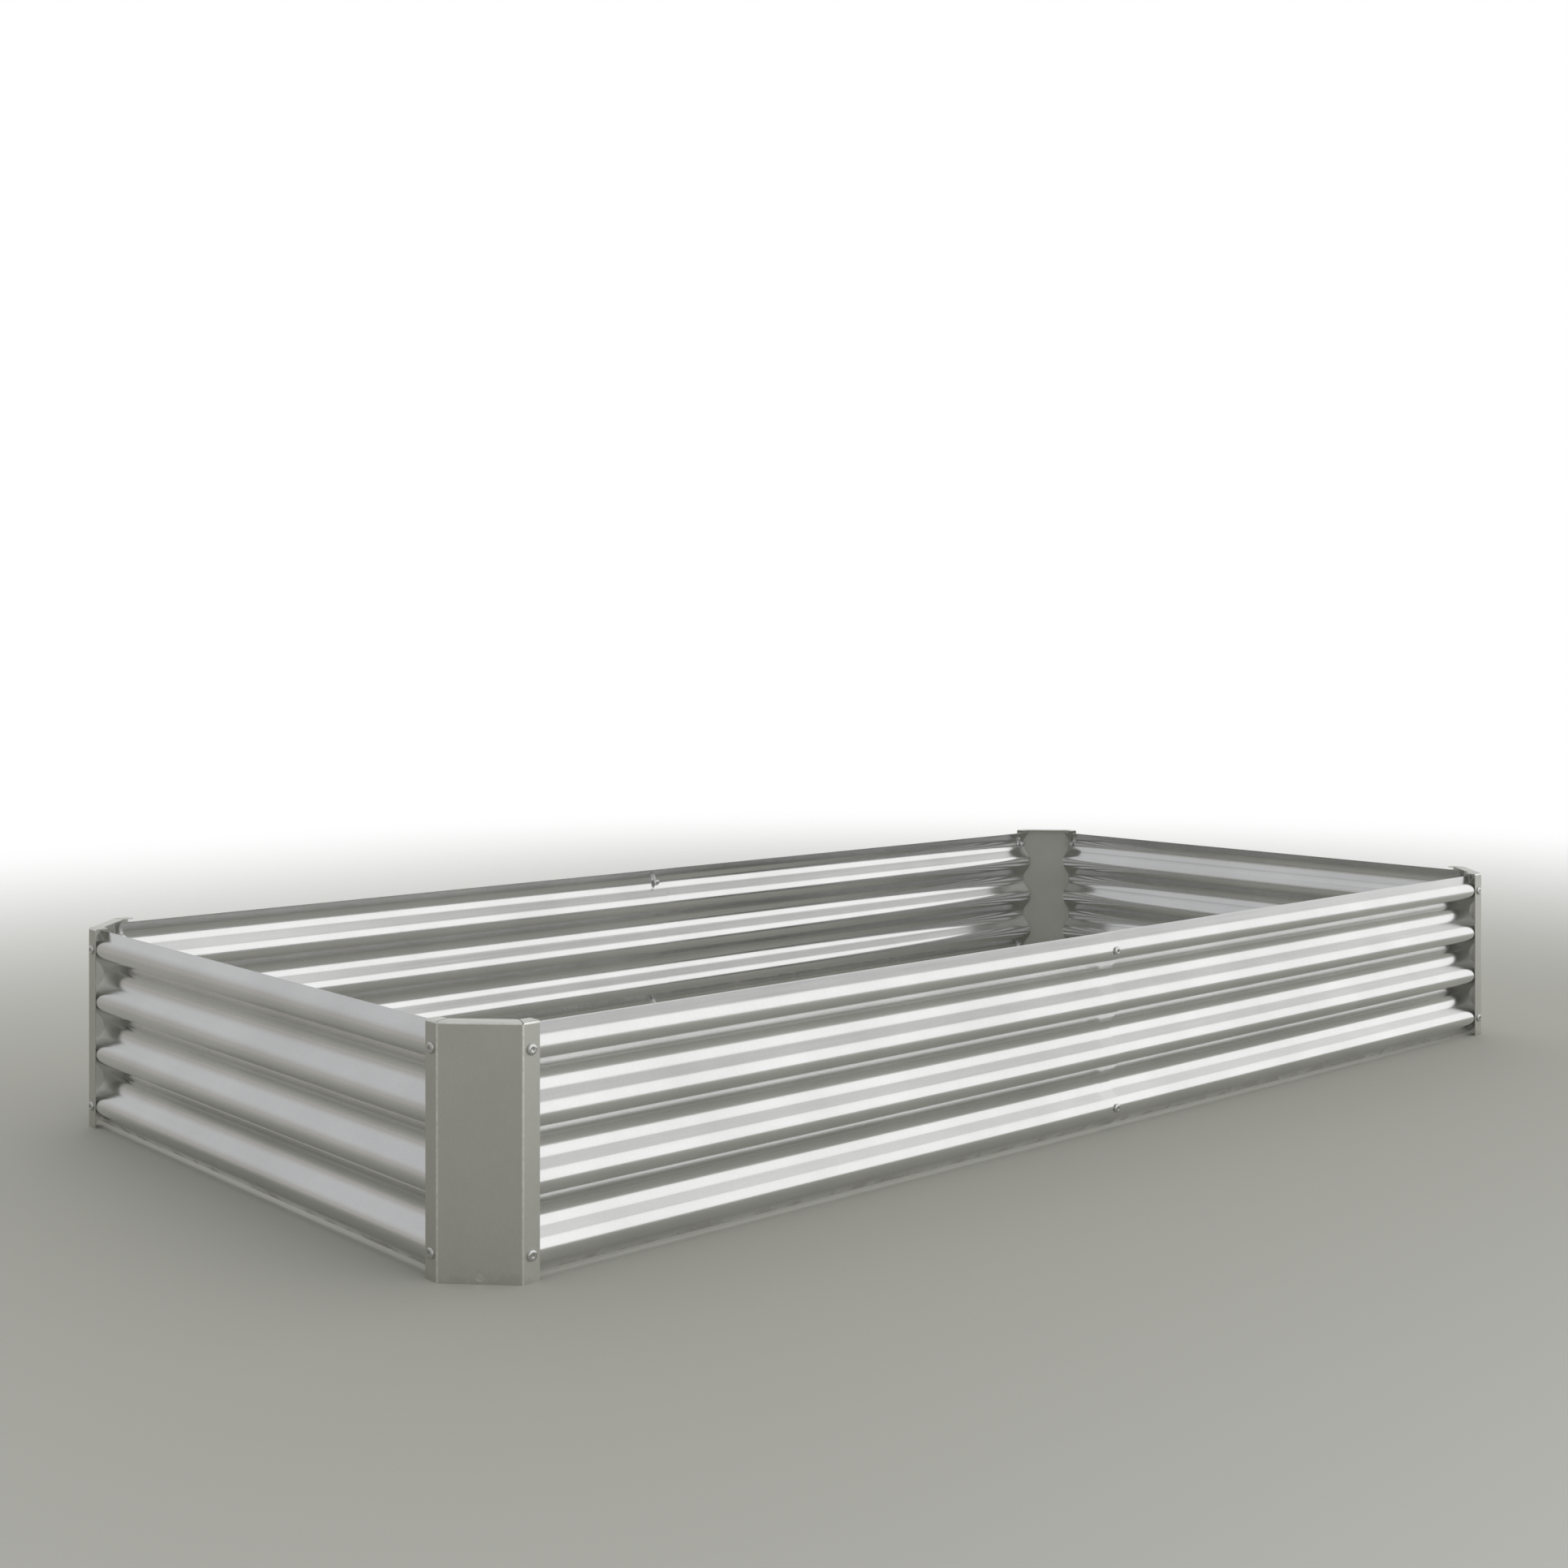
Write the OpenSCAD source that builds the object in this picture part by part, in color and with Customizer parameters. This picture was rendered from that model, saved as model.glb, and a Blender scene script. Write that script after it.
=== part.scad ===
// Raised garden bed: four folded corner posts, six corrugated wall panels, and the
// bolts, washers and nuts that clamp the walls to the posts and to each other.
// Millimetres, +Z up. The ground is z = 0 and the origin is the middle of the footprint.
// The long walls run along X and the end walls along Y.

/* [Bed] */
// Overall length, between the outer faces of the two end walls' flanges
bed_length = 2360; // [1900:10:2800]
// Overall width, between the outer faces of the two long walls' flanges
bed_width = 1120; // [700:10:1400]
// Height of the corner posts
post_height = 305; // [300:1:330]

/* [Corner posts] */
// Length that a corner's 45 degree face takes off the length and off the width
chamfer_leg = 72; // [50:1:110]
// Width of the flange that each post folds round on to a wall
flange_width = 24; // [20:0.5:30]
// Thickness of the post's sheet
post_thickness = 1.2; // [0.8:0.1:2]
// Inside radius of the post's upright bends
post_bend_radius = 1.5; // [1:0.1:3]
// Width of the lip that is folded in along the top of each face
lip_depth = 20; // [12:0.5:24]
// Inside radius of the fold between a face and its lip
lip_bend_radius = 1.5; // [1:0.1:2.5]
// Gap between the mitred ends of neighbouring lips
lip_slit = 1; // [0.4:0.1:2]
// Diameter of the ground pin's hole at the foot of each post
foot_hole_diameter = 10; // [6:0.5:12]
// Height of that hole's centre
foot_hole_height = 8.5; // [8:0.5:14]

/* [Corrugated panels] */
// Height from one ridge's crest to the next
ridge_pitch = 80; // [76:0.5:81]
// Number of ridges up a wall
ridge_count = 4; // [4:1:4]
// Depth of the corrugation, from a crest to the bottom of a valley
ridge_depth = 21; // [16:0.5:24]
// Steepest slope of the sheet, off the upright
slope_angle = 42; // [40:0.5:50]
// Thickness of the panel's sheet
panel_thickness = 0.8; // [0.5:0.1:1]
// Distance from the outermost crest to the sheet's top or bottom edge
edge_rise = 27; // [20:0.5:28]
// Distance from a panel's end, behind a post's flange, to the post's bend
panel_end_gap = 4; // [3:0.5:6]
// Length of the outer sheet past the bolts of the joint in a long wall
lap_outer = 8; // [7:0.5:12]
// Length of the inner sheet past the same bolts
lap_inner = 20; // [8:0.5:30]

/* [Fasteners] */
// Diameter of a bolt's shank
bolt_diameter = 6; // [5:0.5:6]
// Length of the shank below the head
bolt_length = 12; // [12:0.5:14]
// Diameter of the head
head_diameter = 14; // [12:0.5:15]
// Height of the head
head_height = 3.3; // [2.8:0.1:4]
// Height of the plain rim round the bottom of the head
head_rim = 1; // [0.6:0.1:1.4]
// Diameter of the flat on top of the head
head_flat = 7.5; // [7:0.5:8.5]
// Size of the hexagon socket, across its flats
socket_flats = 4; // [3:0.5:5]
// Depth of the socket
socket_depth = 2; // [1:0.1:2.2]
// Outside diameter of a washer
washer_diameter = 12; // [11:0.5:14]
// Thickness of a washer
washer_thickness = 1.2; // [0.8:0.1:1.6]
// Size of a nut, across its flats
nut_flats = 10; // [9:0.5:11]
// Height of a nut
nut_height = 5; // [4:0.1:5.5]

/* [Clearances] */
// Extra diameter of the bolt holes in the sheets
hole_clearance = 0.6; // [0.4:0.1:1]
// Extra diameter of a washer's hole
washer_clearance = 0.4; // [0.2:0.1:0.8]
// Extra diameter of a nut's bore over the shank
thread_clearance = 0.1; // [0.05:0.01:0.2]
// Space left between curved sheets and what they bear on
seat_gap = 0.1; // [0.05:0.01:0.3]

/* [Hidden] */

// How far a cut runs past the surface that it breaks
overrun = 1;
// Largest turn between two points of a rounded bend, in degrees. A bend has an even
// number of steps, so that one point lies in its middle.
bend_step = 7;
// Facets of a full turn on the fasteners and holes
round_facets = 48;

// The posts: their faces turn by 45 degrees, so their lips meet on mitres of half that
post_turn = 45;
fold_turn = 90;
post_bend_middle = post_bend_radius + post_thickness / 2;
post_bend_setback = (post_bend_radius + post_thickness) * tan(post_turn / 2);
face_width = chamfer_leg * sqrt(2);
fold_outer_radius = lip_bend_radius + post_thickness;
fold_middle = lip_bend_radius + post_thickness / 2;
upright_height = post_height - fold_outer_radius;
flange_bolt = chamfer_leg + flange_width / 2;

// The corrugation: equal arcs on crests and valleys, joined by straight slopes
half_pitch = ridge_pitch / 2;
ridge_radius = (half_pitch * sin(slope_angle) - ridge_depth * cos(slope_angle))
    / (2 * (1 - cos(slope_angle)));
slope_length = (half_pitch - 2 * ridge_radius * sin(slope_angle)) / cos(slope_angle);
wave_height = ridge_pitch * (ridge_count - 1);
low_crest = (post_height - wave_height) / 2;
high_crest = low_crest + wave_height;
panel_bottom = low_crest - edge_rise;
panel_top = high_crest + edge_rise;

// Places along the walls, measured from a wall's middle
long_bolt = bed_length / 2 - flange_bolt;
end_bolt = bed_width / 2 - flange_bolt;
panel_past_bolt = flange_width / 2 - panel_end_gap;
crest_plane = post_thickness + seat_gap;

// The joint: the inner sheet leans in by this much, so that the slopes nest clear
lap_offset = (panel_thickness + seat_gap) / cos(slope_angle);
lap_lean = asin(lap_offset / (long_bolt - lap_outer));

// A washer bears on the hollow side of a crest with its upper and lower edges
crest_hollow_radius = ridge_radius - panel_thickness / 2;
washer_rise = crest_hollow_radius - sqrt(pow(crest_hollow_radius, 2) - pow(washer_diameter / 2, 2));
post_washer_seat = crest_plane + panel_thickness + washer_rise + seat_gap;
joint_washer_seat = crest_plane + lap_offset + panel_thickness + washer_rise + seat_gap;

sheet_hole = bolt_diameter + hole_clearance;
post_colour = [0.66, 0.67, 0.65];
panel_colour = [0.80, 0.81, 0.82];
bolt_colour = [0.86, 0.86, 0.86];
nut_colour = [0.74, 0.74, 0.72];

// The middle line of a bent strip, as places of [x, y, heading]. Each move is
// [straight run, turn to the left that follows it, radius of that turn].
function strip_line(moves, from, done = 0) =
    done == len(moves) ? [from] :
    let (
        run = moves[done][0],
        turn = moves[done][1],
        radius = sign(turn) * moves[done][2],
        heading = from[2],
        x = from[0] + run * cos(heading) - radius * sin(heading),
        y = from[1] + run * sin(heading) + radius * cos(heading),
        steps = 2 * ceil(abs(turn) / bend_step / 2),
        headings = [for (step = [0 : steps]) heading + (steps > 0 ? turn * step / steps : 0)],
        places = [for (h = headings) [x + radius * sin(h), y - radius * cos(h), h]])
    concat(run > 0 ? [from] : [], [for (i = [0 : steps - 1]) places[i]],
        strip_line(moves, places[steps], done + 1));

// The section of that strip, with its thickness shared to both sides
module strip(moves, from, thickness) {
    line = strip_line(moves, from);
    half = thickness / 2;
    left = [for (p = line) [p[0] - half * sin(p[2]), p[1] + half * cos(p[2])]];
    right = [for (p = line) [p[0] + half * sin(p[2]), p[1] - half * cos(p[2])]];
    last = len(line) - 1;
    polygon(concat(left, [for (i = [0 : last]) right[last - i]]));
}

// A post's plan, from one flange round to the other. The corner that the bed's straight
// sides would make is at [0, 0], the long wall along +X and the end wall along +Y.
module post_plan() {
    flange_run = flange_width - post_bend_setback;
    strip(
        [
            [flange_run, -post_turn, post_bend_middle],
            [face_width - 2 * post_bend_setback, -post_turn, post_bend_middle],
            [flange_run, 0, 0]],
        [chamfer_leg + flange_width, post_thickness / 2, 2 * fold_turn],
        post_thickness);
}

// A lip along a face that starts at the origin and runs along +X, with the post's
// inside towards +Y. Each end is square, or is cut back for the mitre with the next lip.
module lip(run, mitre_start, mitre_end) {
    back = lip_depth * tan(post_turn / 2);
    slit = lip_slit / 2 / cos(post_turn / 2);
    start = mitre_start ? slit : 0;
    end = mitre_end ? slit : 0;
    intersection() {
        rotate([90, 0, 90])
            linear_extrude(height = run)
                strip(
                    [
                        [fold_outer_radius, -fold_turn, fold_middle],
                        [lip_depth - fold_outer_radius, 0, 0]],
                    [post_thickness / 2, upright_height - fold_outer_radius, fold_turn],
                    post_thickness);
        linear_extrude(height = post_height + overrun)
            polygon([
                [start, 0],
                [run - end, 0],
                [run - end - (mitre_end ? back : 0), lip_depth],
                [start + (mitre_start ? back : 0), lip_depth]]);
    }
}

// A post in its corner frame: the long wall is along +X and the end wall along +Y
module post() {
    difference() {
        union() {
            linear_extrude(height = upright_height)
                post_plan();
            for (side = [0, 1])
                mirror([side, -side, 0])
                    translate([chamfer_leg, 0, 0])
                        lip(flange_width, true, false);
            translate([0, chamfer_leg, 0])
                rotate([0, 0, -post_turn])
                    lip(face_width, true, true);
        }
        for (side = [0, 1], height = [low_crest, high_crest])
            mirror([side, -side, 0])
                translate([flange_bolt, 0, height])
                    bore(sheet_hole, post_thickness);
        translate([chamfer_leg / 2, chamfer_leg / 2, foot_hole_height])
            rotate([0, 0, -post_turn])
                bore(foot_hole_diameter, post_thickness);
    }
}

// A hole through a sheet whose outer face is at y = 0
module bore(diameter, thickness) {
    translate([0, -overrun, 0])
        rotate([-90, 0, 0])
            cylinder(d = diameter, h = thickness + 2 * overrun, $fn = round_facets);
}

// The section of a wall: x is the depth behind the crests' outer plane, y the height.
// The strip runs up from the bottom of the lowest valley to the bottom of the highest.
module wave_section() {
    intersection() {
        strip(
            concat(
                [[0, slope_angle, ridge_radius]],
                [for (ridge = [1 : ridge_count], side = [-2, ridge < ridge_count ? 2 : 1])
                    [slope_length, side * slope_angle, ridge_radius]]),
            [ridge_depth + panel_thickness / 2, low_crest - half_pitch, fold_turn],
            panel_thickness);
        translate([-overrun, panel_bottom])
            square([ridge_depth + panel_thickness + 2 * overrun, panel_top - panel_bottom]);
    }
}

// A panel that starts at x = 0, with its crests at y = 0 and bolt holes at two distances
module panel(length, holes) {
    difference() {
        rotate([90, 0, 90])
            linear_extrude(height = length)
                wave_section();
        for (along = holes, height = [low_crest, high_crest])
            translate([along, 0, height])
                bore(sheet_hole, panel_thickness);
    }
}

// A bolt with its head's seat at z = 0 and its shank along +Z
module bolt() {
    difference() {
        union() {
            cylinder(d = bolt_diameter, h = bolt_length, $fn = round_facets);
            translate([0, 0, -head_rim])
                cylinder(d = head_diameter, h = head_rim, $fn = round_facets);
            translate([0, 0, -head_height])
                cylinder(
                    d1 = head_flat, d2 = head_diameter,
                    h = head_height - head_rim, $fn = round_facets);
        }
        translate([0, 0, -head_height - overrun])
            cylinder(d = socket_flats / cos(30), h = socket_depth + overrun, $fn = 6);
    }
}

// A washer that starts at z = 0
module washer() {
    difference() {
        cylinder(d = washer_diameter, h = washer_thickness, $fn = round_facets);
        translate([0, 0, -overrun])
            cylinder(
                d = bolt_diameter + washer_clearance,
                h = washer_thickness + 2 * overrun, $fn = round_facets);
    }
}

// A nut that starts at z = 0
module nut() {
    difference() {
        cylinder(d = nut_flats / cos(30), h = nut_height, $fn = 6);
        translate([0, 0, -overrun])
            cylinder(
                d = bolt_diameter + thread_clearance,
                h = nut_height + 2 * overrun, $fn = round_facets);
    }
}

// Turns a fastener's +Z to point into the bed, that far behind the flange's outer face
module through_wall(depth) {
    translate([0, depth, 0])
        rotate([-90, 0, 0])
            children();
}

// The corner frames. side_x and side_y are -1 or 1, for the corner of the bed.
module at_corner(side_x, side_y) {
    mirror([side_x > 0 ? 1 : 0, 0, 0])
        mirror([0, side_y > 0 ? 1 : 0, 0])
            translate([-bed_length / 2, -bed_width / 2, 0])
                children();
}

// The four bolt places of a corner's two flanges
module at_corner_bolts(side_x, side_y) {
    at_corner(side_x, side_y)
        for (side = [0, 1], height = [low_crest, high_crest])
            mirror([side, -side, 0])
                translate([flange_bolt, 0, height])
                    children();
}

// A wall frame: x along the wall from its middle, y into the bed from the outer faces
module at_wall(turn, half_depth) {
    rotate([0, 0, turn])
        translate([0, -half_depth, 0])
            children();
}

// The two bolt places of the joint in the middle of a long wall
module at_joint_bolts(turn) {
    at_wall(turn, bed_width / 2)
        for (height = [low_crest, high_crest])
            translate([0, 0, height])
                children();
}

module outer_long_panel(turn) {
    start = -long_bolt - panel_past_bolt;
    color(panel_colour)
        at_wall(turn, bed_width / 2)
            translate([start, crest_plane, 0])
                panel(lap_outer - start, [-long_bolt - start, -start]);
}

// The inner panel leans about its post's bolts, and so passes behind the outer one
module inner_long_panel(turn) {
    end = long_bolt + panel_past_bolt;
    color(panel_colour)
        at_wall(turn, bed_width / 2)
            translate([long_bolt, crest_plane, 0])
                rotate([0, 0, -lap_lean])
                    translate([-long_bolt - lap_inner, 0, 0])
                        panel(end + lap_inner, [lap_inner, lap_inner + long_bolt]);
}

module end_panel(turn) {
    start = -end_bolt - panel_past_bolt;
    color(panel_colour)
        at_wall(turn, bed_length / 2)
            translate([start, crest_plane, 0])
                panel(-2 * start, [panel_past_bolt, panel_past_bolt + 2 * end_bolt]);
}

module corner_post(side_x, side_y) {
    color(post_colour) at_corner(side_x, side_y) post();
}

module corner_bolts(side_x, side_y) {
    color(bolt_colour) at_corner_bolts(side_x, side_y) through_wall(0) bolt();
}

module corner_washers(side_x, side_y) {
    color(nut_colour) at_corner_bolts(side_x, side_y) through_wall(post_washer_seat) washer();
}

module corner_nuts(side_x, side_y) {
    color(nut_colour)
        at_corner_bolts(side_x, side_y)
            through_wall(post_washer_seat + washer_thickness) nut();
}

module joint_bolts(turn) {
    color(bolt_colour) at_joint_bolts(turn) through_wall(crest_plane - seat_gap) bolt();
}

module joint_washers(turn) {
    color(nut_colour) at_joint_bolts(turn) through_wall(joint_washer_seat) washer();
}

module joint_nuts(turn) {
    color(nut_colour)
        at_joint_bolts(turn)
            through_wall(joint_washer_seat + washer_thickness) nut();
}

module post_front_left() corner_post(-1, -1);
module post_front_right() corner_post(1, -1);
module post_back_left() corner_post(-1, 1);
module post_back_right() corner_post(1, 1);
module panel_front_left() outer_long_panel(0);
module panel_front_right() inner_long_panel(0);
module panel_back_left() inner_long_panel(180);
module panel_back_right() outer_long_panel(180);
module panel_end_left() end_panel(-90);
module panel_end_right() end_panel(90);
module bolts_front_left() corner_bolts(-1, -1);
module bolts_front_right() corner_bolts(1, -1);
module bolts_back_left() corner_bolts(-1, 1);
module bolts_back_right() corner_bolts(1, 1);
module bolts_front_joint() joint_bolts(0);
module bolts_back_joint() joint_bolts(180);
module washers_front_left() corner_washers(-1, -1);
module washers_front_right() corner_washers(1, -1);
module washers_back_left() corner_washers(-1, 1);
module washers_back_right() corner_washers(1, 1);
module washers_front_joint() joint_washers(0);
module washers_back_joint() joint_washers(180);
module nuts_front_left() corner_nuts(-1, -1);
module nuts_front_right() corner_nuts(1, -1);
module nuts_back_left() corner_nuts(-1, 1);
module nuts_back_right() corner_nuts(1, 1);
module nuts_front_joint() joint_nuts(0);
module nuts_back_joint() joint_nuts(180);

post_front_left();
post_front_right();
post_back_left();
post_back_right();
panel_front_left();
panel_front_right();
panel_back_left();
panel_back_right();
panel_end_left();
panel_end_right();
bolts_front_left();
bolts_front_right();
bolts_back_left();
bolts_back_right();
bolts_front_joint();
bolts_back_joint();
washers_front_left();
washers_front_right();
washers_back_left();
washers_back_right();
washers_front_joint();
washers_back_joint();
nuts_front_left();
nuts_front_right();
nuts_back_left();
nuts_back_right();
nuts_front_joint();
nuts_back_joint();
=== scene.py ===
import math

import bmesh
import bpy
from mathutils import Matrix, Vector, noise


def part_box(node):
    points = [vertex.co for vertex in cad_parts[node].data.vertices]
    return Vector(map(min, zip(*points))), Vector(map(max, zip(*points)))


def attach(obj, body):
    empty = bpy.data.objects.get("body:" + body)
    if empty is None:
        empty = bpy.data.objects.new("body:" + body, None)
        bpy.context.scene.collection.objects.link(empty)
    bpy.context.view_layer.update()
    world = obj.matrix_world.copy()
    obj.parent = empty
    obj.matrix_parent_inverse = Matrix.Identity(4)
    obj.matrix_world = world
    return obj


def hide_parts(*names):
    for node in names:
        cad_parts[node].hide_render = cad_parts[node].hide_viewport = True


# A raised garden bed of folded and corrugated metal sheet, dressed round its packed
# frame. Metres, +Z up. The long walls run along X and the end walls along Y.

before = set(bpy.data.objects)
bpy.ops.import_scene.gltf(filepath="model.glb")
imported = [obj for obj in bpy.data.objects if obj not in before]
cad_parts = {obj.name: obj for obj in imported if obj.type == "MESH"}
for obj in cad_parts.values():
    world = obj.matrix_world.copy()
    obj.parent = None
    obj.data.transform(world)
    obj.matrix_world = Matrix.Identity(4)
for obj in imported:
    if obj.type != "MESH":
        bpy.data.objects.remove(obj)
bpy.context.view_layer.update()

MM = 0.001

# The sheets and fasteners, as they are in the frame
POST_THICKNESS = 1.2 * MM
POST_BEND_RADIUS = 1.5 * MM
CHAMFER_LEG = 72 * MM
FLANGE_WIDTH = 24 * MM
LIP_DEPTH = 20 * MM
LIP_BEND_RADIUS = 1.5 * MM
FOOT_HOLE_RADIUS = 5 * MM
FOOT_HOLE_HEIGHT = 8.5 * MM
PANEL_THICKNESS = 0.8 * MM
RIDGE_PITCH = 80 * MM
RIDGE_COUNT = 4
RIDGE_DEPTH = 21 * MM
SLOPE_ANGLE = math.radians(42)
EDGE_RISE = 27 * MM
PANEL_END_GAP = 4 * MM
LAP_OUTER = 8 * MM
LAP_INNER = 20 * MM
SHEET_HOLE_RADIUS = 3.3 * MM
SEAT_GAP = 0.1 * MM
WASHER_THICKNESS = 1.2 * MM
WASHER_RADIUS = 6 * MM

# How closely grid lines and points are told apart
GRID_DECIMALS = 7
SAME_MARK = 1e-9
SAME_LINE = 1e-6
SAME_POINT = 1e-7

# The grid beside a bend, and in the patch round a hole
BEND_SUPPORT = 0.8 * MM
HOLE_PATCH_STEPS = 4
BOLT_PATCH_REACH = 5.5 * MM
FOOT_PATCH_REACH = 7.4 * MM

# How sharp edges are rounded
SHARP_ANGLE = math.radians(40)
ROUNDING_SEGMENTS = 2
POST_ROUNDING = 0.25 * MM
PANEL_ROUNDING = 0.2 * MM
FASTENER_ROUNDING = 0.08 * MM

# Sizes that follow from those, and from the box of one post in the frame
post_low, post_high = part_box("post_front_left")
HALF_LENGTH = -post_low.x
HALF_WIDTH = -post_low.y
POST_HEIGHT = post_high.z
POST_TURN = math.radians(45)
FLANGE_BOLT = CHAMFER_LEG + FLANGE_WIDTH / 2
CREST_PLANE = POST_THICKNESS + SEAT_GAP
HALF_PITCH = RIDGE_PITCH / 2
RIDGE_RADIUS = (HALF_PITCH * math.sin(SLOPE_ANGLE) - RIDGE_DEPTH * math.cos(SLOPE_ANGLE)) / (
    2 * (1 - math.cos(SLOPE_ANGLE)))
SLOPE_RUN = (HALF_PITCH - 2 * RIDGE_RADIUS * math.sin(SLOPE_ANGLE)) / math.cos(SLOPE_ANGLE)
LOW_CREST = (POST_HEIGHT - RIDGE_PITCH * (RIDGE_COUNT - 1)) / 2
HIGH_CREST = POST_HEIGHT - LOW_CREST
LONG_BOLT = HALF_LENGTH - FLANGE_BOLT
END_BOLT = HALF_WIDTH - FLANGE_BOLT
PANEL_PAST_BOLT = FLANGE_WIDTH / 2 - PANEL_END_GAP
LAP_OFFSET = (PANEL_THICKNESS + SEAT_GAP) / math.cos(SLOPE_ANGLE)
LAP_LEAN = math.asin(LAP_OFFSET / (LONG_BOLT - LAP_OUTER))


class BentLine:
    """The middle line of a bent sheet. Each move is a straight run, the angle of the turn
    after it, positive to the left, and the radius of that turn."""

    def __init__(self, start, heading, moves):
        self.spans = []
        self.marks = [0.0]
        place = Vector(start)
        for run, turn, radius in moves:
            for length, curve in ((run, 0.0), (abs(turn) * radius, math.copysign(1, turn) / radius)):
                if length > 0:
                    self.spans.append((self.marks[-1], length, place.copy(), heading, curve))
                    self.marks.append(self.marks[-1] + length)
                    place, heading = self.along(place, heading, curve, length)
        self.length = self.marks[-1]

    @staticmethod
    def along(place, heading, curve, length):
        """The place and heading after a length of a straight run, or of an arc of that curvature."""
        if curve == 0:
            return place + Vector((math.cos(heading), math.sin(heading))) * length, heading
        after = heading + curve * length
        shift = Vector((math.sin(after) - math.sin(heading), math.cos(heading) - math.cos(after)))
        return place + shift / curve, after

    def at(self, distance):
        """The place and heading at that distance along the line."""
        found = self.spans[0]
        for span in self.spans:
            if span[0] <= distance + SAME_MARK:
                found = span
        begin, _, place, heading, curve = found
        return self.along(place, heading, curve, distance - begin)

    def lines(self, straight_step, bend_steps):
        """Grid lines along it: equal steps on each bend, steps of about the given length on
        each straight run, and a support line near both ends of a run."""
        made = []
        for begin, length, _, _, curve in self.spans:
            if curve:
                made += [begin + length * k / bend_steps for k in range(bend_steps + 1)]
            else:
                count = max(1, round(length / straight_step))
                made += [begin + length * k / count for k in range(count + 1)]
                made += [begin + BEND_SUPPORT, begin + length - BEND_SUPPORT]
        return sorted(set(round(x, GRID_DECIMALS) for x in made))


def left_of(heading):
    """The unit vector to the left of a heading, in the plane of its line."""
    return Vector((-math.sin(heading), math.cos(heading)))


def evenly(start, end, step):
    """Values from start to end, at equal steps of about the given one."""
    count = max(1, round((end - start) / step))
    return [start + (end - start) * k / count for k in range(count + 1)]


def with_lines(base, fixed, apart):
    """Sorted grid lines: all the fixed ones, and the base ones that don't crowd them."""
    ends = [min(base), max(base)]
    inner = [x for x in base if all(abs(x - y) > apart for y in fixed)]
    return sorted(set(round(x, GRID_DECIMALS) for x in inner + list(fixed) + ends))


def patch_lines(centres, reach):
    """The grid lines of the patches round some holes."""
    steps = range(-HOLE_PATCH_STEPS, HOLE_PATCH_STEPS + 1)
    return [centre + reach * k / HOLE_PATCH_STEPS for centre in centres for k in steps]


def nearest(lines, value):
    """The number of the grid line that is nearest to a value."""
    return min(range(len(lines)), key=lambda i: abs(lines[i] - value))


def waviness(size, scale, u, v, seed):
    """How far a sheet wavers off its true form at a point of its surface."""
    return size * noise.noise(Vector((u * scale[0], v * scale[1], seed)))


def sheet_mesh(name, us, vs, place, thickness, holes=(), keep=None):
    """A closed mesh of a bent sheet. place(u, v) gives a point of its middle and the outward
    normal there, holes are (u, v, radius, reach) and keep(u, v) says which cells there are."""
    built = bmesh.new()
    corners = {}

    def pair(u, v):
        point, normal = place(u, v)
        offset = normal * (thickness / 2)
        return built.verts.new(point + offset), built.verts.new(point - offset)

    def corner(i, j):
        if (i, j) not in corners:
            corners[i, j] = pair(us[i], vs[j])
        return corners[i, j]

    def both(first, second, third, fourth):
        """The same face on the outer and on the inner side."""
        built.faces.new([p[0] for p in (first, second, third, fourth)])
        built.faces.new([p[1] for p in (fourth, third, second, first)])

    def rim(first, second):
        built.faces.new([first[0], first[1], second[1], second[0]])

    cells = {
        (i, j)
        for i in range(len(us) - 1)
        for j in range(len(vs) - 1)
        if keep is None or keep((us[i] + us[i + 1]) / 2, (vs[j] + vs[j + 1]) / 2)}
    patched = set()
    for u, v, radius, reach in holes:
        i0, i1 = nearest(us, u - reach), nearest(us, u + reach)
        j0, j1 = nearest(vs, v - reach), nearest(vs, v + reach)
        patched |= {(i, j) for i in range(i0, i1) for j in range(j0, j1)}
        loop = [(i, j0) for i in range(i0, i1)] + [(i1, j) for j in range(j0, j1)]
        loop += [(i, j1) for i in range(i1, i0, -1)] + [(i0, j) for j in range(j1, j0, -1)]
        angles = [math.atan2(vs[j] - v, us[i] - u) for i, j in loop]
        ring = [pair(u + radius * math.cos(a), v + radius * math.sin(a)) for a in angles]
        for k, ij in enumerate(loop):
            after = (k + 1) % len(loop)
            both(corner(*ij), corner(*loop[after]), ring[after], ring[k])
            rim(ring[after], ring[k])
    cells -= patched
    solid = cells | patched
    for i, j in sorted(cells):
        square = [(i, j), (i + 1, j), (i + 1, j + 1), (i, j + 1)]
        both(*[corner(*ij) for ij in square])
        beside = [(i, j - 1), (i + 1, j), (i, j + 1), (i - 1, j)]
        for k, cell in enumerate(beside):
            if cell not in solid:
                rim(corner(*square[k]), corner(*square[(k + 1) % 4]))
    bmesh.ops.recalc_face_normals(built, faces=built.faces)
    return finished_mesh(name, built)


def finished_mesh(name, built):
    """Turns what was built into a smooth-shaded mesh of that name."""
    mesh = bpy.data.meshes.new(name)
    built.to_mesh(mesh)
    built.free()
    for face in mesh.polygons:
        face.use_smooth = True
    return mesh


def dress(node, mesh, material, rounding):
    """Shows a mesh in place of a CAD node, with its sharp edges slightly rounded."""
    piece = bpy.data.objects.new(node + "_detail", mesh)
    bpy.context.scene.collection.objects.link(piece)
    mesh.materials.append(material)
    soften = piece.modifiers.new("edges", "BEVEL")
    soften.width = rounding
    soften.segments = ROUNDING_SEGMENTS
    soften.limit_method = "ANGLE"
    soften.angle_limit = SHARP_ANGLE
    soften.harden_normals = True
    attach(piece, "root")
    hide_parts(node)


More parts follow.
